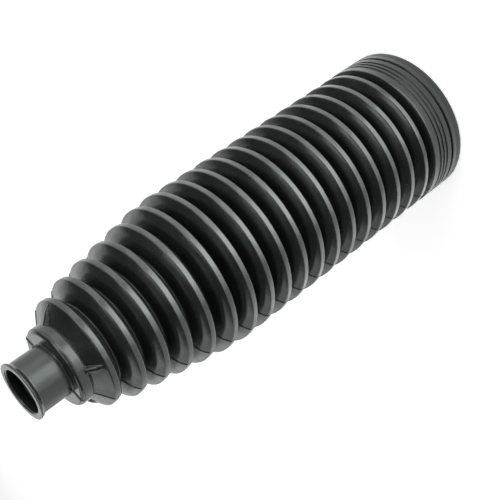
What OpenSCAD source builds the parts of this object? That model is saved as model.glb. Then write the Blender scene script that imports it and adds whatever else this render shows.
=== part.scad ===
// Steering rack boot: one thin-walled moulding with eighteen folds.
// It stands on the end of its large cuff, with the small cuff at the top.
// Sizes are in millimetres, +Z runs along the axis from the large cuff to the small one.

/* [Wall] */
// Thickness of the folded wall, square to its surface
wall = 1.1; // [0.8:0.1:1.2]

/* [Large cuff] */
// Outside diameter of the large cuff
large_cuff_d = 60.4; // [60:0.1:62]
// Thickness of the large cuff round its bore, which grips the rack housing
large_cuff_wall = 2.5; // [1.8:0.1:3]
// Height of the large cuff, from its end face to the front of its flange
large_cuff_h = 16.4; // [16:0.1:17]
// Depth of the clamp groove near the end of the large cuff
deep_groove_depth = 0.9; // [0.4:0.1:1.2]
// Width of the clamp groove near the end of the large cuff
deep_groove_w = 0.9; // [0.5:0.1:1.2]
// Depth of each of the three fine grip grooves
grip_groove_depth = 0.5; // [0.2:0.1:0.8]
// Width of each fine grip groove
grip_groove_w = 0.9; // [0.4:0.1:1.1]
// Distance from one fine grip groove to the next
grip_groove_pitch = 2; // [1.6:0.1:2.2]
// Depth of the waist in the rim, between the end face and the clamp groove
rim_waist = 0.2; // [0.1:0.05:0.3]

/* [Small cuff] */
// Outside diameter of the small cuff's tube, where its clamp sits
small_cuff_d = 19.4; // [19:0.1:20]
// Thickness of the small cuff round its bore, which grips the tie rod
small_cuff_wall = 1.5; // [1.2:0.1:2.2]
// Length of the small cuff, from its lip to the shoulder
small_cuff_length = 12.8; // [12:0.1:14]
// How far the flared lip round the mouth stands out from the tube
lip_reach = 0.9; // [0.5:0.1:1.3]
// Length over which the lip flares out from the tube
lip_flare = 1.2; // [0.8:0.1:1.6]
// Depth of the sealing grooves in both bores
seal_groove_depth = 0.5; // [0.2:0.1:0.6]
// Width of the sealing grooves in both bores
seal_groove_w = 1.2; // [0.8:0.1:1.4]

/* [Shoulder] */
// Diameter of the shoulder between the small cuff and the first fold
shoulder_d = 29.6; // [28.8:0.1:30.4]
// Length of the shoulder along the axis
shoulder_length = 4.2; // [3.8:0.1:4.8]
// Radius of the rounded front edge of the shoulder
shoulder_round = 1.4; // [0.8:0.1:2]
// Depth of the valley between the shoulder and the first fold
shoulder_valley = 0.4; // [0.3:0.1:0.8]
// Distance from the first fold's crest to the back of the shoulder
first_flank = 5.5; // [5.2:0.1:6.2]

/* [Folds] */
// Number of folds
fold_count = 18; // [8:1:24]
// Number of tapered folds at the small end, which are smaller and spaced wider than the others
taper_folds = 6; // [3:1:7]
// Distance from the front of the large cuff to the nearest crest
cuff_gap = 5.1; // [4.6:0.1:5.6]
// Distance between crests in the straight stretch
fold_pitch = 8.5; // [8.1:0.1:9]
// Distance between crests in the tapered stretch
taper_pitch = 8.8; // [8.4:0.1:9.3]
// Crest diameter of the straight stretch
crest_d = 60.2; // [57:0.1:63]
// How much smaller the widest tapered crest is than the straight ones
crest_d_drop = 1.6; // [1:0.1:2.4]
// How much the crest diameter falls from fold to fold in the tapered stretch
crest_d_step = 3.1; // [2.6:0.1:3.4]
// How much smaller still the crest next to the shoulder is
first_crest_drop = 2.1; // [1.4:0.1:2.6]
// Root diameter of the straight stretch
root_d = 42.4; // [40:0.1:44]
// How much smaller the widest tapered root is than the straight ones
root_d_drop = 1.4; // [0.8:0.1:2]
// How much the root diameter falls from fold to fold in the tapered stretch
root_d_step = 3; // [2.6:0.1:3.4]
// Root diameter of the groove between the large cuff and its nearest fold
cuff_root_d = 46; // [44:0.1:48]
// Width of the flat land on a crest, before its edges are rounded
crest_land = 2; // [1.8:0.1:2.2]
// Width of the flat land in a root, before its edges are rounded
root_land = 0.5; // [0.5:0.1:1.2]
// Rounding of the crest edges
crest_round = 0.6; // [0.3:0.1:0.7]
// Rounding of the root edges
root_round = 0.3; // [0.1:0.05:0.3]

/* [Gussets] */
// Number of gussets that stiffen the first fold
gusset_count = 4; // [2:1:8]
// Angle from the mould's parting plane to the first gusset
gusset_angle = 45; // [30:1:60]
// Thickness of a gusset
gusset_t = 1.5; // [1:0.1:2]
// How far a gusset stands above the shoulder
gusset_rise = 0.5; // [0.2:0.1:1]
// How far up the first fold's flank a gusset reaches, as a share of the flank
gusset_reach = 0.9; // [0.6:0.02:0.92]

/* [Hidden] */
$fn = 120;
eps = 0.01;
arc_steps = 3;
edge_round = 0.3;
end_round = 0.7;
waist_round = 2;
fine_round = 0.15;
// Rounding of a groove's edges and corners, as a share of its depth or width
groove_round = 0.4;
rubber = [0.09, 0.09, 0.09];

large_r = large_cuff_d / 2;
large_bore_r = large_r - large_cuff_wall;
small_r = small_cuff_d / 2;
small_bore_r = small_r - small_cuff_wall;
lip_r = small_r + lip_reach;
lip_edge = 0.6;
shoulder_r = shoulder_d / 2;
valley_drop = 0.5;

// Heights of the grooves round the large cuff, measured at the middle of each
deep_groove_z = 5.6;
grip_groove_z = 9;
grip_grooves = 3;

// Places of the sealing grooves, measured from each cuff's own end
small_seal_z = [3.6, 6.6];
large_seal_z = [4, 8];

// Crest of fold n, counted from the small end
function crest_z(n) = large_cuff_h + cuff_gap + (fold_count - n) * fold_pitch
    + max(0, taper_folds - n) * (taper_pitch - fold_pitch);
function crest_r(n) =
    (crest_d - taper(n, taper_folds, crest_d_drop, crest_d_step) - (n == 1 ? first_crest_drop : 0)) / 2;

// Root between fold n and fold n + 1. The roots taper over two folds fewer than the crests.
root_taper_folds = taper_folds - 2;
function root_z(n) = (crest_z(n) + crest_z(n + 1)) / 2;
function root_r(n) = (root_d - taper(n, root_taper_folds, root_d_drop, root_d_step)) / 2;

// What fold n loses in diameter: a drop for the last of the tapered folds, and a step for each before it
function taper(n, folds, drop, step) = n > folds ? 0 : drop + (folds - n) * step;

// Heights of the shoulder and of the small cuff's end, which is the boot's overall length
shoulder_back = crest_z(1) + first_flank;
shoulder_front = shoulder_back + shoulder_length;
boot_length = shoulder_front + small_cuff_length;

// A land of width w at height z and radius r, as two corners from bottom to top.
// A corner is [radius, height, rounding].
function land(r, z, w, rounding) = [[r, z - w / 2, rounding], [r, z + w / 2, rounding]];

// A groove of width w and depth d in a wall of radius r, with its edges rounded.
// A depth below nothing cuts into the wall round a bore.
function groove(r, z, w, d) =
    let (rounding = groove_round * min(w, abs(d)))
    [
        [r, z - w / 2, rounding], [r - d, z - w / 2, rounding],
        [r - d, z + w / 2, rounding], [r, z + w / 2, rounding]
    ];

// Outside of the large cuff, from its end face to the front of its flange
rim_back = 2 * end_round;
rim_front = deep_groove_z - deep_groove_w / 2 - end_round;
cuff_line = concat(
    [
        [large_r, 0, end_round],
        [large_r, rim_back, waist_round],
        [large_r - rim_waist, (rim_back + rim_front) / 2, waist_round],
        [large_r, rim_front, waist_round]
    ],
    groove(large_r, deep_groove_z, deep_groove_w, deep_groove_depth),
    [for (k = [0:grip_grooves - 1])
        each groove(large_r, grip_groove_z + k * grip_groove_pitch, grip_groove_w, grip_groove_depth)],
    [[large_r, large_cuff_h, end_round]]
);

// Outside of the folds and the shoulder, from the groove above the flange to the small cuff
cuff_root_z = large_cuff_h + (cuff_gap - root_land) / 2;
fold_line = concat(
    land(cuff_root_d / 2, cuff_root_z, root_land, root_round),
    [for (n = [fold_count:-1:2]) each concat(
        land(crest_r(n), crest_z(n), crest_land, crest_round),
        land(root_r(n - 1), root_z(n - 1), root_land, root_round))],
    land(crest_r(1), crest_z(1), crest_land, crest_round),
    [
        [shoulder_r - shoulder_valley, shoulder_back - valley_drop, fine_round],
        [shoulder_r, shoulder_back, edge_round],
        [shoulder_r, shoulder_front, shoulder_round]
    ]
);

// Outside of the small cuff, from the shoulder to its lip
tube_line = [
    [small_r, shoulder_front, root_round],
    [small_r, boot_length - lip_edge - lip_flare, crest_round],
    [lip_r, boot_length - lip_edge, fine_round],
    [lip_r, boot_length, fine_round]
];

// Bore of the small cuff, from its mouth down to the folds
small_bore_line = concat(
    [[small_bore_r, boot_length, end_round]],
    [for (z = small_seal_z)
        each reversed(seal_groove(small_bore_r, boot_length - z))],
    [[small_bore_r, shoulder_front - wall, edge_round]]
);

// Bore of the large cuff, from the folds down to its end face
large_bore_line = concat(
    [[large_bore_r, large_cuff_h - wall, root_round]],
    [for (k = [len(large_seal_z) - 1:-1:0])
        each reversed(seal_groove(large_bore_r, large_seal_z[k]))],
    [[large_bore_r, 0, edge_round]]
);
function seal_groove(r, z) = groove(r, z, seal_groove_w, -seal_groove_depth);

// Direction of a step along a line, and the outward normal of that step
function point(corner) = [corner[0], corner[1]];
function unit(v) = v / norm(v);
function outward(from, to) = let (d = unit(point(to) - point(from))) [d[1], -d[0]];

// Corner moved square to both of its sides by t, into the wall
function inset(before, corner, after, t) =
    let (n = outward(before, corner), m = outward(corner, after))
    point(corner) - t * (n + m) / (1 + n * m);

// How sharply a line turns at a corner: positive to the left
function turn(before, corner, after) =
    cross(point(corner) - point(before), point(after) - point(corner));

// A line's corners, moved inwards by t. Outside bends get tighter and inside bends wider.
function inset_line(before, line, after, t) = [
    for (i = [0:len(line) - 1])
        let (
            a = i == 0 ? before : line[i - 1],
            b = i == len(line) - 1 ? after : line[i + 1],
            tight = turn(a, line[i], b) > 0
        )
        concat(inset(a, line[i], b, t), [tight ? max(0, line[i][2] - t) : line[i][2] + t])
];

// Arc that rounds one corner of a closed line
function round_corner(a, corner, b) =
    let (
        p = point(corner),
        u = unit(point(a) - p),
        v = unit(point(b) - p),
        half = acos(u * v) / 2,
        r = corner[2],
        centre = p + unit(u + v) * r / sin(half),
        first = p + u * r / tan(half) - centre,
        start = atan2(first[1], first[0]),
        sweep = (180 - 2 * half) * sign(turn(a, corner, b))
    )
    r < eps ? [p]
    : [for (k = [0:arc_steps])
        let (angle = start + sweep * k / arc_steps)
        centre + r * [cos(angle), sin(angle)]];

function rounded(line) = [
    for (i = [0:len(line) - 1])
        each round_corner(line[(i + len(line) - 1) % len(line)], line[i], line[(i + 1) % len(line)])
];

function reversed(line) = [for (i = [len(line) - 1:-1:0]) line[i]];

outer_line = concat(cuff_line, fold_line, tube_line);
fold_inside = inset_line(cuff_line[len(cuff_line) - 1], fold_line, tube_line[0], wall);
section = concat(outer_line, small_bore_line, reversed(fold_inside), large_bore_line);

// Section of a gusset. Its edge runs straight from above the shoulder to the first fold's flank,
// and its foot lies inside the wall.
valley = len(fold_line) - 3;
embedded = inset_line(cuff_line[len(cuff_line) - 1], fold_line, tube_line[0], wall / 3);
function along_flank(line) =
    point(line[valley]) + gusset_reach * (point(line[valley - 1]) - point(line[valley]));
gusset_section = [
    along_flank(fold_line),
    [shoulder_r + gusset_rise, shoulder_back + edge_round],
    [shoulder_r - wall / 3, shoulder_back + edge_round + 2 * gusset_rise],
    point(embedded[valley + 1]),
    point(embedded[valley]),
    along_flank(embedded)
];

module folded_wall() {
    rotate_extrude() polygon(rounded(section));
}

module gusset() {
    rotate([90, 0, 0])
        linear_extrude(gusset_t, center = true)
            polygon(gusset_section);
}

module boot() {
    color(rubber) {
        folded_wall();
        for (k = [0:gusset_count - 1])
            rotate([0, 0, gusset_angle + k * 360 / gusset_count]) gusset();
    }
}

boot();
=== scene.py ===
import math
import bpy
import numpy as np
from mathutils import Matrix, Vector


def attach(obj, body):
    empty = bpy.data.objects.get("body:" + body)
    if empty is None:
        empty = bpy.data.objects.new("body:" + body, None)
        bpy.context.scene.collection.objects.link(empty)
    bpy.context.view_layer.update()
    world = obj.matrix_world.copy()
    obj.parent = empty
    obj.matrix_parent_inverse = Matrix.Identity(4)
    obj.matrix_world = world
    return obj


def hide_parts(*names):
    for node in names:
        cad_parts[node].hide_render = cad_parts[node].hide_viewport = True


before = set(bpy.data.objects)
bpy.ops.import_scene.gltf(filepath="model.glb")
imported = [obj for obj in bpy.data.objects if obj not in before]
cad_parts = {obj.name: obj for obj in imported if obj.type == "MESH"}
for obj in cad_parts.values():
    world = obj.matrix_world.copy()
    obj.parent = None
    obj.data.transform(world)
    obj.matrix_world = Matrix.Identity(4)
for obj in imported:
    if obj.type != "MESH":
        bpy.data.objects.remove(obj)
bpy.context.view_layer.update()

# Sizes in millimetres, the same as in the part's own source. R at the end of a name is for a radius
# and D for a diameter
MM = 0.001
WALL = 1.1

LARGE_R = 30.2
LARGE_BORE_R = 27.7
LARGE_H = 16.4
RIM_WAIST = 0.2

# Grooves round the large cuff: height of the middle, width and depth
DEEP_GROOVE = (5.6, 0.9, 0.9)
GRIP_GROOVES = [(z, 0.9, 0.5) for z in (9, 11, 13)]

SMALL_R = 9.7
SMALL_BORE_R = 8.2
SMALL_LENGTH = 12.8
LIP_R = 10.6
LIP_EDGE = 0.6
LIP_FLARE = 1.2

# Sealing grooves in the bores, from the top down: heights in the large one, and distances below the
# mouth in the small one
LARGE_SEALS = (8, 4)
SMALL_SEALS = (3.6, 6.6)
SEAL_DEPTH = 0.5
SEAL_W = 1.2

SHOULDER_R = 14.8
SHOULDER_LENGTH = 4.2
SHOULDER_VALLEY = 0.4
VALLEY_DROP = 0.5
FIRST_FLANK = 5.5

# A drop is how much smaller the widest tapered fold is than the straight ones, and a step is how
# much smaller each tapered fold is than the one below it
FOLDS = 18
TAPER_FOLDS = 6
ROOT_TAPER_FOLDS = TAPER_FOLDS - 2
CUFF_GAP = 5.1
FOLD_PITCH = 8.5
TAPER_PITCH = 8.8
CREST_D = 60.2
CREST_D_DROP = 1.6
CREST_D_STEP = 3.1
FIRST_CREST_DROP = 2.1
CREST_LAND = 2
ROOT_D = 42.4
ROOT_D_DROP = 1.4
ROOT_D_STEP = 3
ROOT_LAND = 0.5
CUFF_ROOT_R = 23

GUSSETS = 4
FIRST_GUSSET = math.radians(45)
GUSSET_ANGLES = [FIRST_GUSSET + k * math.tau / GUSSETS for k in range(GUSSETS)]
GUSSET_T = 1.5
GUSSET_RISE = 0.5
GUSSET_REACH = 0.9

# Rounding of the edges, and the steps in which each arc is drawn
END_ROUND = (0.7, 5)
EDGE_ROUND = (0.3, 3)
FINE_ROUND = (0.15, 2)
WAIST_ROUND = (2.0, 3)
CREST_ROUND = (0.6, 3)
ROOT_ROUND = (0.3, 2)
SHOULDER_ROUND = (1.4, 6)

# Rounding of a groove's corners, as a share of its width or depth, whichever is less
GROOVE_ROUND = 0.4
GROOVE_STEPS = 3

# Forms that only the scene has. Each flank swells near its crest: how far down the flank, how high
# over it and how rounded, as shares of the flank's length
SWELL_DOWN = 0.34
SWELL_HEIGHT = 0.075
SWELL_ROUND = 0.9
SWELL_STEPS = 2

# A gusset's edge swells in its middle. Its foot is wider by a fillet, and its sides fall away from
# just inside that over a short distance. It ends inside the shoulder, this far above its back
GUSSET_SWELL = 0.55
GUSSET_FILLET = 0.3
GUSSET_SIDE_INSET = 0.05
GUSSET_SIDE_W = 0.5
GUSSET_END = 2.2

# The mould's parting lines: a ridge's height on a wall that faces along the axis, the share of it
# on a wall that faces outwards, and the distance at which it has fallen to about a third
PARTING_ANGLES = (0.0, math.pi)
PARTING_RIDGE = 0.35
PARTING_SHARE = 0.35
PARTING_W = 0.13

# The rows are close together round the gussets, from the first crest to just past the shoulder's
# front: the greatest distance between two, and how far past the front they go
ROW_STEP = 0.35
ROWS_PAST = 0.3

# Columns round the boot: the even ones, then half of those across a gusset and across a parting
# line, in millimetres from its middle. Nearer to the axis than NEAREST_R they draw together
EVEN_COLUMNS = 56
GUSSET_OFFSETS = (0.35, 0.62, 0.82, 0.96, 1.08, 1.2, 1.4)
PARTING_OFFSETS = (0.08, 0.16, 0.3, 0.5)
NEAREST_R = 14

# Colours of the rubber: its darker and lighter clouds, its scuffs and the tint of its shine
DARK_RUBBER = (0.0078, 0.0093, 0.0087, 1)
LIGHT_RUBBER = (0.0134, 0.0156, 0.0147, 1)
SCUFFED_RUBBER = (0.020, 0.022, 0.021, 1)
RUBBER_TINT = (0.91, 1.0, 0.955, 1)

# The world fades between two elevations, given as sines, to its strength overhead
WORLD_FADE = (0.21, 0.47)
WORLD_OVERHEAD = 0.1

# The floor's rings in metres, its sides and its glow, and the low lamps' height over it in metres
FLOOR_RINGS = (0.02, 0.06, 0.12, 0.3, 0.8, 4.0)
FLOOR_SIDES = 48
FLOOR_GLOW = 0.64
LOW_LAMP_Z = 0.004

# Low lamps that face up from the floor: azimuth in degrees, nearest and furthest distance from the
# boot's axis and width in metres, and radiance
LOW_LAMPS = {
    "key_foot": (74, 0.045, 0.11, 0.05, 3.3),
    "key_near": (75, 0.11, 0.26, 0.14, 5.1),
    "key_far": (78, 0.26, 0.58, 0.32, 4.9),
    "key_end": (80, 0.58, 0.76, 0.40, 1.9),
    "key_right_foot": (48, 0.05, 0.11, 0.045, 1.0),
    "key_right": (47, 0.11, 0.26, 0.08, 2.1),
    "key_right_far": (50, 0.26, 0.58, 0.22, 2.0),
    "key_left_foot": (105, 0.055, 0.11, 0.06, 1.3),
    "key_left": (107, 0.11, 0.26, 0.10, 1.8),
    "key_left_far": (133, 0.18, 0.70, 0.24, 1.0),
    "fill_right_foot": (345, 0.038, 0.11, 0.06, 1.1),
    "fill_right": (334, 0.11, 0.26, 0.16, 1.15),
    "fill_left_foot": (148, 0.038, 0.11, 0.06, 0.75),
    "fill_left": (165, 0.11, 0.26, 0.16, 0.7)}

# Lamps on stands, a metre from the boot's middle, which they face: azimuth and elevation in
# degrees, width and height in metres, and radiance
STAND_LAMPS = {
    "high_left": (96, 68, 0.66, 0.36, 2.3),
    "edge_left": (120, 46, 0.36, 0.15, 8.0),
    "left": (148, 27, 1.0, 0.45, 0.8),
    "horizon_left": (105, 4, 0.5, 0.4, 3.0),
    "back_left": (235, 25, 0.9, 0.5, 0.65),
    "back_right": (300, 25, 0.9, 0.5, 0.7),
    "high_back": (292, 50, 0.45, 0.45, 1.35)}


def crest(n):
    """Radius and height of crest n, counted from the small end. Crests are one pitch apart and of one
    diameter, and in the tapered folds the pitch is wider and the diameter falls from fold to fold."""
    tapered = max(0, TAPER_FOLDS - n)
    z = LARGE_H + CUFF_GAP + (FOLDS - n) * FOLD_PITCH + tapered * (TAPER_PITCH - FOLD_PITCH)
    d = CREST_D
    if n <= TAPER_FOLDS:
        d -= CREST_D_DROP + tapered * CREST_D_STEP
    if n == 1:
        d -= FIRST_CREST_DROP
    return d / 2, z


def root(n):
    """Radius and height of the root between crests n and n + 1, halfway between them."""
    z = (crest(n)[1] + crest(n + 1)[1]) / 2
    d = ROOT_D
    if n <= ROOT_TAPER_FOLDS:
        d -= ROOT_D_DROP + (ROOT_TAPER_FOLDS - n) * ROOT_D_STEP
    return d / 2, z


SHOULDER_BACK = crest(1)[1] + FIRST_FLANK
SHOULDER_FRONT = SHOULDER_BACK + SHOULDER_LENGTH
LENGTH = SHOULDER_FRONT + SMALL_LENGTH


def land(r, z, w, rounding):
    """Two corners, half a width below and above z."""
    return [(r, z - w / 2, *rounding), (r, z + w / 2, *rounding)]


def groove(r, z, w, d):
    """Four corners of a groove of width w, cut d deep into radius r, from bottom to top. A negative d
    cuts outwards from a bore, from top to bottom."""
    s = math.copysign(w / 2, d)
    rounding = (GROOVE_ROUND * min(w, abs(d)), GROOVE_STEPS)
    return [(r, z - s, *rounding), (r - d, z - s, *rounding),
            (r - d, z + s, *rounding), (r, z + s, *rounding)]


def swollen_flank(crest_edge, foot):
    """Corner that lets a flank swell near its crest: a share of the way down from the crest's edge to
    the foot, moved outwards and square to the flank by another share."""
    across, along = foot[0] - crest_edge[0], foot[1] - crest_edge[1]
    outwards = math.copysign(SWELL_HEIGHT, along)
    return (crest_edge[0] + SWELL_DOWN * across + outwards * along,
            crest_edge[1] + SWELL_DOWN * along - outwards * across,
            SWELL_ROUND * math.hypot(across, along), SWELL_STEPS)


def outer_corners():
    """Corners of the outside in three runs: the large cuff from its end face up, the folds with the
    shoulder, and the small cuff up to its mouth. A corner is a radius, a height, a rounding and the
    steps of its arc."""
    rim_back = 2 * END_ROUND[0]
    rim_front = DEEP_GROOVE[0] - DEEP_GROOVE[1] / 2 - END_ROUND[0]
    cuff = [(LARGE_R, 0, *END_ROUND),
            (LARGE_R, rim_back, *WAIST_ROUND),
            (LARGE_R - RIM_WAIST, (rim_back + rim_front) / 2, *WAIST_ROUND),
            (LARGE_R, rim_front, *WAIST_ROUND),
            *groove(LARGE_R, *DEEP_GROOVE)]
    for grip in GRIP_GROOVES:
        cuff += groove(LARGE_R, *grip)
    cuff.append((LARGE_R, LARGE_H, *END_ROUND))

    folds = land(CUFF_ROOT_R, LARGE_H + (CUFF_GAP - ROOT_LAND) / 2, ROOT_LAND, ROOT_ROUND)
    for n in range(FOLDS, 0, -1):
        top = land(*crest(n), CREST_LAND, CREST_ROUND)
        folds += [swollen_flank(top[0], folds[-1]), *top]
        if n > 1:
            foot = land(*root(n - 1), ROOT_LAND, ROOT_ROUND)
            folds += [swollen_flank(top[1], foot[0]), *foot]
    folds += [(SHOULDER_R - SHOULDER_VALLEY, SHOULDER_BACK - VALLEY_DROP, *FINE_ROUND),
              (SHOULDER_R, SHOULDER_BACK, *EDGE_ROUND),
              (SHOULDER_R, SHOULDER_FRONT, *SHOULDER_ROUND)]

    tube = [(SMALL_R, SHOULDER_FRONT, *ROOT_ROUND),
            (SMALL_R, LENGTH - LIP_EDGE - LIP_FLARE, *CREST_ROUND),
            (LIP_R, LENGTH - LIP_EDGE, *FINE_ROUND),
            (LIP_R, LENGTH, *FINE_ROUND)]
    return np.array(cuff), np.array(folds), np.array(tube)


def unit(v):
    """Vectors over their own lengths. A vector of no length stays as it is."""
    return v / np.maximum(np.linalg.norm(v, axis=-1, keepdims=True), 1e-12)


def turn(before, corner, after):
    """Cross product of the step into a corner and the step out of it: positive where the line turns
    left."""
    a, b = corner - before, after - corner
    return a[:, 0] * b[:, 1] - a[:, 1] * b[:, 0]


def inset(before, line, after, t):
    """The line moved inwards by t, with the corners before and after it known. Each corner moves
    along the sum of its two sides' normals, by t over one plus their product. Outside bends lose t
    from their rounding, inside bends gain it, and each arc is drawn in one step."""
    p = line[:, :2]
    a = np.vstack([before, p[:-1]])
    b = np.vstack([p[1:], after])
    d, e = unit(p - a), unit(b - p)
    n = np.column_stack([d[:, 1], -d[:, 0]])
    m = np.column_stack([e[:, 1], -e[:, 0]])
    moved = p - t * (n + m) / (1 + (n * m).sum(1, keepdims=True))
    rounding = np.where(turn(a, p, b) > 0, np.maximum(0, line[:, 2] - t), line[:, 2] + t)
    return np.column_stack([moved, rounding, np.ones(len(rounding))])


def rounded(line):
    """Closed line whose corners are arcs. An arc's centre lies on its corner's bisector, at its
    radius over the sine of half the corner's angle, and it sweeps half a turn less that angle. A
    corner without rounding stays one point."""
    p, r, steps = line[:, :2], line[:, 2], line[:, 3]
    a, b = np.roll(p, 1, 0), np.roll(p, -1, 0)
    u, v = unit(a - p), unit(b - p)
    half = np.arccos(np.clip((u * v).sum(1), -1, 1)) / 2
    centre = p + unit(u + v) * (r / np.sin(half))[:, None]
    first = p + u * (r / np.tan(half))[:, None] - centre
    start = np.arctan2(first[:, 1], first[:, 0])
    sweep = (math.pi - 2 * half) * np.sign(turn(a, p, b))
    step = np.arange(steps.max() + 1)[None]
    share = step / steps[:, None]
    angle = start[:, None] + sweep[:, None] * share
    arc = centre[:, None] + r[:, None, None] * np.stack([np.cos(angle), np.sin(angle)], -1)
    return arc[(share <= 1) & ((r > 0)[:, None] | (step == 0))]


def with_rows(line, low, high, step):
    """The line with more points between two heights, at even steps along its length, but none within
    a third of a step of a point that it has."""
    s = np.concatenate([[0], np.cumsum(np.linalg.norm(np.diff(line, axis=0), axis=1))])
    inside = (line[:, 1] > low) & (line[:, 1] < high)
    extra = np.arange(s[inside].min(), s[inside].max(), step)
    extra = extra[np.abs(extra[:, None] - s[None]).min(1) > step / 3]
    every = np.sort(np.concatenate([s, extra]))
    return np.column_stack([np.interp(every, s, line[:, k]) for k in (0, 1)])


def bore(r, top, seals, bottom):
    """Corners of a bore from top to bottom: an edge, its sealing grooves at their heights, an edge."""
    corners = [(r, *top)]
    for z in seals:
        corners += groove(r, z, SEAL_W, -SEAL_DEPTH)
    return np.array([*corners, (r, *bottom)])


def boot_section():
    """Closed section of the boot, and how many of its points lie on the outside. It goes up the
    outside to the mouth's outer edge, the highest point that is furthest from the axis, and then down
    the small bore, the folds' inside, which is their outside moved in by the wall, and the large
    bore."""
    cuff, folds, tube = outer_corners()
    small_bore = bore(SMALL_BORE_R, (LENGTH, *END_ROUND), [LENGTH - z for z in SMALL_SEALS],
                      (SHOULDER_FRONT - WALL, *EDGE_ROUND))
    fold_inside = inset(cuff[-1, :2], folds, tube[0, :2], WALL)[::-1]
    large_bore = bore(LARGE_BORE_R, (LARGE_H - WALL, *ROOT_ROUND), LARGE_SEALS, (0, *EDGE_ROUND))
    whole = rounded(np.vstack([cuff, folds, tube, small_bore, fold_inside, large_bore]))
    top = np.flatnonzero(np.isclose(whole[:, 1], LENGTH))
    outside = top[np.argmax(whole[top, 0])] + 1
    dense = with_rows(whole[:outside], crest(1)[1], SHOULDER_FRONT + ROWS_PAST, ROW_STEP)
    return np.vstack([dense, whole[outside:]]), len(dense)


def column_angles():
    """Columns round the boot, sorted by angle and then by offset: each one's angle, and its offset in
    millimetres from the middle of a gusset or a parting line. The middles lie on even columns, and no
    offset reaches as far as the next even column. Columns just before angle 0 come last."""
    base = np.arange(EVEN_COLUMNS) * math.tau / EVEN_COLUMNS
    columns = [np.column_stack([base, np.zeros(EVEN_COLUMNS)])]
    spots = [(angle, GUSSET_OFFSETS) for angle in GUSSET_ANGLES]
    spots += [(angle, PARTING_OFFSETS) for angle in PARTING_ANGLES]
    for angle, offsets in spots:
        both = np.concatenate([-np.array(offsets[::-1]), offsets])
        columns.append(np.column_stack([np.full(len(both), angle), both]))
    columns = np.vstack(columns)
    before_start = (columns[:, 0] == 0) & (columns[:, 1] < 0)
    columns[before_start, 0] = math.tau
    return columns[np.lexsort((columns[:, 1], np.round(columns[:, 0], 9)))]


def gusset_edge(z):
    """Radius of a gusset's edge at height z: from the first fold's flank by a swollen middle to just
    above the shoulder's back, and down into the shoulder from there."""
    valley = np.array([SHOULDER_R - SHOULDER_VALLEY, SHOULDER_BACK - VALLEY_DROP])
    crest_edge = np.array([crest(1)[0], crest(1)[1] + CREST_LAND / 2])
    foot = valley + GUSSET_REACH * (crest_edge - valley)
    top = np.array([SHOULDER_R + GUSSET_RISE, SHOULDER_BACK + EDGE_ROUND[0]])
    middle = (foot + top) / 2
    return np.interp(z, [foot[1], middle[1], top[1], top[1] + GUSSET_RISE],
                     [foot[0], middle[0] + GUSSET_SWELL, top[0], SHOULDER_R - WALL / 3])


def beside(r, phi, angle):
    """How far points lie from the plane through the axis at an angle, the radius times the sine of
    the angle between, and which of them are on that side of the axis."""
    return r * np.sin(phi - angle), np.cos(phi - angle) > 0


def gusset_lift(r, z, phi, angle):
    """How far a gusset lifts the radius: to its edge less the drop of a half round top, where that is
    further out. Beside it the lift falls to nothing by a cube of the distance."""
    across, facing = beside(r, phi, angle)
    across = np.abs(across)
    half = GUSSET_T / 2 + GUSSET_FILLET
    drop = half - np.sqrt(np.maximum(0, half ** 2 - across ** 2))
    side = (1 - np.clip((across - half + GUSSET_SIDE_INSET) / GUSSET_SIDE_W, 0, 1)) ** 3
    lift = np.maximum(0, gusset_edge(z) - drop - r) * side
    within = (z > crest(1)[1]) & (z < SHOULDER_BACK + GUSSET_END)
    return np.where(facing & within, lift, 0)


def parting_ridge(r, phi, angle, axial):
    """How far a parting line lifts the surface along its normal: a bell curve of the distance to it,
    whose height grows with the square of the normal's part along the axis."""
    across, facing = beside(r, phi, angle)
    height = PARTING_RIDGE * (PARTING_SHARE + (1 - PARTING_SHARE) * axial ** 2)
    return height * np.exp(-(across / PARTING_W) ** 2) * facing


def boot_surface():
    """Grid of the boot: the section's points turned to the columns' angles, with the gussets and the
    parting lines on the outside. A column's offset turns it by the offset over the radius."""
    section, outside = boot_section()
    columns = column_angles()
    r = section[:, 0][:, None]
    z = np.repeat(section[:, 1][:, None], len(columns), 1)
    before, after = np.roll(section, 1, 0), np.roll(section, -1, 0)
    along = unit(unit(section - before) + unit(after - section))
    radial, axial = along[:, 1][:, None], -along[:, 0][:, None]
    phi = columns[:, 0][None] + columns[:, 1][None] / np.maximum(r, NEAREST_R)
    is_outside = (np.arange(len(section)) < outside)[:, None]

    lifted = np.repeat(r, len(columns), 1)
    for angle in GUSSET_ANGLES:
        lifted = lifted + gusset_lift(r, z, phi, angle) * is_outside
    for angle in PARTING_ANGLES:
        ridge = parting_ridge(r, phi, angle, axial) * is_outside
        lifted = lifted + ridge * radial
        z = z + ridge * axial
    z = np.clip(z, 0, LENGTH)
    return np.stack([lifted * np.cos(phi), lifted * np.sin(phi), z], -1) * MM


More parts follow.
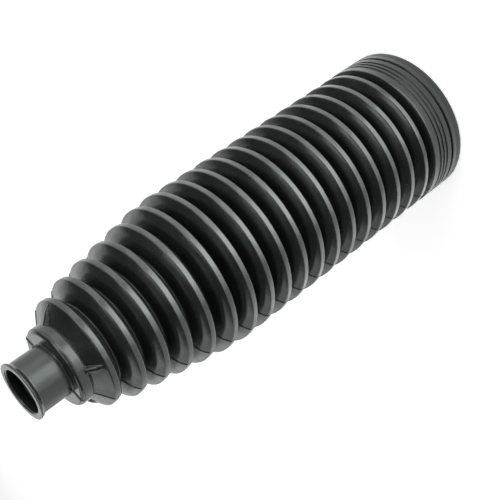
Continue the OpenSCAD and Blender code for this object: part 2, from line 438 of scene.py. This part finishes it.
def closed_grid(name, points):
    """Mesh of a grid that closes on itself both ways. Each vertex normal is the sum of the crosses of
    the diagonals of the four faces round it, which weighs each face by its area. Every vertex is the
    first, second, third and fourth corner of one face each, so sorting the faces by a corner puts
    them in the vertices' order."""
    rows, columns = points.shape[:2]
    index = np.arange(rows * columns).reshape(rows, columns)
    right, up = np.roll(index, -1, 1), np.roll(index, -1, 0)
    faces = np.stack([index, right, np.roll(up, -1, 1), up], -1).reshape(-1, 4)
    flat = points.reshape(-1, 3)
    cross = np.cross(flat[faces[:, 2]] - flat[faces[:, 0]], flat[faces[:, 3]] - flat[faces[:, 1]])
    normals = np.zeros_like(flat)
    for corner in range(4):
        normals += cross[np.argsort(faces[:, corner])]
    mesh = bpy.data.meshes.new(name)
    mesh.vertices.add(len(flat))
    mesh.vertices.foreach_set("co", flat.astype(np.float32).ravel())
    mesh.loops.add(faces.size)
    mesh.loops.foreach_set("vertex_index", faces.astype(np.int32).ravel())
    mesh.polygons.add(len(faces))
    mesh.polygons.foreach_set("loop_start", np.arange(0, faces.size, 4, dtype=np.int32))
    mesh.update(calc_edges=True)
    mesh.shade_smooth()
    mesh.normals_split_custom_set_from_vertices(unit(normals))
    mesh.validate(clean_customdata=False)
    piece = bpy.data.objects.new(name, mesh)
    bpy.context.scene.collection.objects.link(piece)
    return piece


def node(tree, kind, inputs=None, **settings):
    """One shader node with its settings and input values. A value that is another node's socket is
    linked."""
    made = tree.nodes.new(kind)
    for key, value in settings.items():
        setattr(made, key, value)
    for key, value in (inputs or {}).items():
        if isinstance(value, bpy.types.NodeSocket):
            tree.links.new(value, made.inputs[key])
        else:
            made.inputs[key].default_value = value
    return made


def empty_tree(owner):
    """Node tree of a material or world, with no nodes in it."""
    owner.use_nodes = True
    owner.node_tree.nodes.clear()
    return owner.node_tree


def black_rubber():
    """Moulded black rubber: near-black with a slight cool tint, cloudy and mottled in its shine, with
    faint scuffs, a fine grain and the rings that the turned mould leaves."""
    material = bpy.data.materials.new("black_rubber")
    tree = empty_tree(material)
    place = node(tree, "ShaderNodeTexCoord").outputs["Object"]

    def noise(scale, detail, roughness, vector=place, distortion=0.0):
        made = node(tree, "ShaderNodeTexNoise", {
            "Vector": vector, "Scale": scale, "Detail": detail, "Roughness": roughness,
            "Distortion": distortion})
        return made.outputs["Fac"]

    def ranged(value, low, high, to_low, to_high):
        made = node(tree, "ShaderNodeMapRange", {
            "Value": value, "From Min": low, "From Max": high, "To Min": to_low, "To Max": to_high})
        return made.outputs["Result"]

    def added(first, second):
        return node(tree, "ShaderNodeMath", {0: first, 1: second}, operation="ADD").outputs[0]

    def bumped(height, strength, distance, **below):
        made = node(tree, "ShaderNodeBump", {
            "Strength": strength, "Distance": distance, "Height": height, **below})
        return made.outputs["Normal"]

    cloud = noise(90, 4, 0.6)
    mottle = noise(420, 3, 0.55)
    grain = noise(1900, 3, 0.55)
    scuff = ranged(noise(240, 5, 0.7, distortion=1.2), 0.64, 0.86, 0.0, 1.0)

    colour = node(tree, "ShaderNodeValToRGB", {"Fac": cloud})
    dark, light = colour.color_ramp.elements
    dark.position, dark.color = 0.3, DARK_RUBBER
    light.position, light.color = 0.72, LIGHT_RUBBER
    scuffed = node(tree, "ShaderNodeMix", {
        "Factor": scuff, "A": colour.outputs["Color"], "B": SCUFFED_RUBBER}, data_type="RGBA")

    polish = ranged(added(cloud, mottle), 0.75, 1.25, 0.19, 0.28)
    roughness = added(polish, ranged(scuff, 0, 1, 0, 0.07))

    squeezed = node(tree, "ShaderNodeMapping", {"Vector": place, "Scale": (0.02, 0.02, 1)})
    rings = noise(1400, 2, 0.5, squeezed.outputs["Vector"])
    ring_bump = bumped(rings, 0.05, 0.0002)
    wave_bump = bumped(mottle, 0.5, 0.00005, Normal=ring_bump)
    grain_bump = bumped(grain, 0.12, 0.0001, Normal=wave_bump)

    shader = node(tree, "ShaderNodeBsdfPrincipled", {
        "Base Color": scuffed.outputs["Result"], "Roughness": roughness, "IOR": 1.63,
        "Specular Tint": RUBBER_TINT, "Normal": grain_bump})
    node(tree, "ShaderNodeOutputMaterial", {"Surface": shader.outputs["BSDF"]})
    return material


def seen_by_mirrors(tree):
    """1 for what the camera sees, straight, mirrored or through glass, and 0 for what only lights the
    object."""
    path = node(tree, "ShaderNodeLightPath").outputs

    def larger(first, second):
        return node(tree, "ShaderNodeMath", {0: first, 1: second}, operation="MAXIMUM").outputs[0]

    return larger(larger(path["Is Camera Ray"], path["Is Glossy Ray"]), path["Is Transmission Ray"])


def pale_world():
    """White near the horizon, fading between 12 and 28 degrees above it to a tenth overhead."""
    world = bpy.data.worlds.new("studio")
    bpy.context.scene.world = world
    tree = empty_tree(world)
    direction = node(tree, "ShaderNodeTexCoord").outputs["Generated"]
    height = node(tree, "ShaderNodeSeparateXYZ", {"Vector": direction}).outputs["Z"]
    level = node(tree, "ShaderNodeMapRange", {
        "Value": height, "From Min": WORLD_FADE[0], "From Max": WORLD_FADE[1], "To Min": 1.0,
        "To Max": WORLD_OVERHEAD}, interpolation_type="SMOOTHSTEP")
    back = node(tree, "ShaderNodeBackground", {
        "Color": (1, 1, 1, 1), "Strength": level.outputs["Result"]})
    node(tree, "ShaderNodeOutputWorld", {"Surface": back.outputs["Background"]})


def white_paper():
    """Matt white that also glows a little, which only the camera and mirrors see."""
    material = bpy.data.materials.new("white_paper")
    tree = empty_tree(material)
    level = node(tree, "ShaderNodeMath", {0: seen_by_mirrors(tree), 1: FLOOR_GLOW},
                 operation="MULTIPLY")
    glow = node(tree, "ShaderNodeEmission", {
        "Color": (1, 1, 1, 1), "Strength": level.outputs[0]})
    paper = node(tree, "ShaderNodeBsdfDiffuse", {"Color": (0.85, 0.85, 0.85, 1)})
    both = node(tree, "ShaderNodeAddShader", {0: glow.outputs[0], 1: paper.outputs[0]})
    node(tree, "ShaderNodeOutputMaterial", {"Surface": both.outputs[0]})
    return material


def pale_floor():
    """Round white floor, a grid of rings by angles round a middle point."""
    k = np.arange(FLOOR_SIDES)
    following = (k + 1) % FLOOR_SIDES
    angle = k * math.tau / FLOOR_SIDES
    radius = np.array(FLOOR_RINGS)[:, None]
    x, y = radius * np.cos(angle), radius * np.sin(angle)
    rings = np.stack([x, y, np.zeros_like(x)], -1)
    points = np.vstack([rings.reshape(-1, 3), [[0, 0, 0]]])
    inner = FLOOR_SIDES * np.arange(len(FLOOR_RINGS) - 1)[:, None]
    outer = inner + FLOOR_SIDES
    quads = np.stack([inner + k, outer + k, outer + following, inner + following], -1)
    fan = np.column_stack([np.full(FLOOR_SIDES, len(points) - 1), k, following])
    mesh = bpy.data.meshes.new("floor")
    mesh.from_pydata(points.tolist(), [], quads.reshape(-1, 4).tolist() + fan.tolist())
    mesh.materials.append(white_paper())
    floor = bpy.data.objects.new("floor", mesh)
    bpy.context.scene.collection.objects.link(floor)


def lamp(name, place, turned, width, height, radiance):
    """Rectangular soft lamp, which the camera doesn't see. Its power is its radiance times pi times
    its area."""
    data = bpy.data.lights.new(name, "AREA")
    data.shape = "RECTANGLE"
    data.size, data.size_y = width, height
    data.energy = radiance * math.pi * width * height
    holder = bpy.data.objects.new(name, data)
    bpy.context.scene.collection.objects.link(holder)
    holder.matrix_world = Matrix.Translation(place) @ turned.to_4x4()
    holder.visible_camera = False


def low_lamp(name, azimuth, near, far, width, radiance):
    """Lamp that lies just above the floor and faces up, between two distances from the axis."""
    out = Matrix.Rotation(math.radians(azimuth), 3, "Z")
    middle = out @ Vector(((near + far) / 2, 0, LOW_LAMP_Z))
    lamp(name, middle, out @ Matrix.Rotation(math.pi, 3, "X"), far - near, width, radiance)


def stand_lamp(name, azimuth, elevation, width, height, radiance):
    """Lamp on a stand that faces the middle of the boot, its width along the horizon."""
    a, e = math.radians(azimuth), math.radians(elevation)
    away = Vector((math.cos(a) * math.cos(e), math.sin(a) * math.cos(e), math.sin(e)))
    middle = Vector((0, 0, LENGTH / 2 * MM))
    lamp(name, middle + away, away.to_track_quat("Z", "Y").to_matrix(), width, height, radiance)


def camera():
    """Camera of the photograph: above the small end, and rolled over, because the boot lies across
    the picture."""
    place = Vector((103.67, 298.80, 271.50)) * MM
    target = Vector((6.58, 0, 93.72)) * MM
    roll = math.radians(-126.10)
    data = bpy.data.cameras.new("camera")
    data.sensor_width = 36
    data.lens = 72
    data.clip_start = 0.01
    data.clip_end = 20
    seen = bpy.data.objects.new("camera", data)
    bpy.context.scene.collection.objects.link(seen)
    aimed = (target - place).to_track_quat("-Z", "Y").to_matrix()
    turned = aimed @ Matrix.Rotation(roll, 3, "Z")
    seen.matrix_world = Matrix.Translation(place) @ turned.to_4x4()
    bpy.context.scene.camera = seen


boot = closed_grid("moulded_boot", boot_surface())
boot.data.materials.append(black_rubber())
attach(boot, "root")
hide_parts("boot")

camera()
pale_world()
pale_floor()
for name, values in LOW_LAMPS.items():
    low_lamp(name, *values)
for name, values in STAND_LAMPS.items():
    stand_lamp(name, *values)

bpy.context.scene.view_settings.view_transform = "Standard"
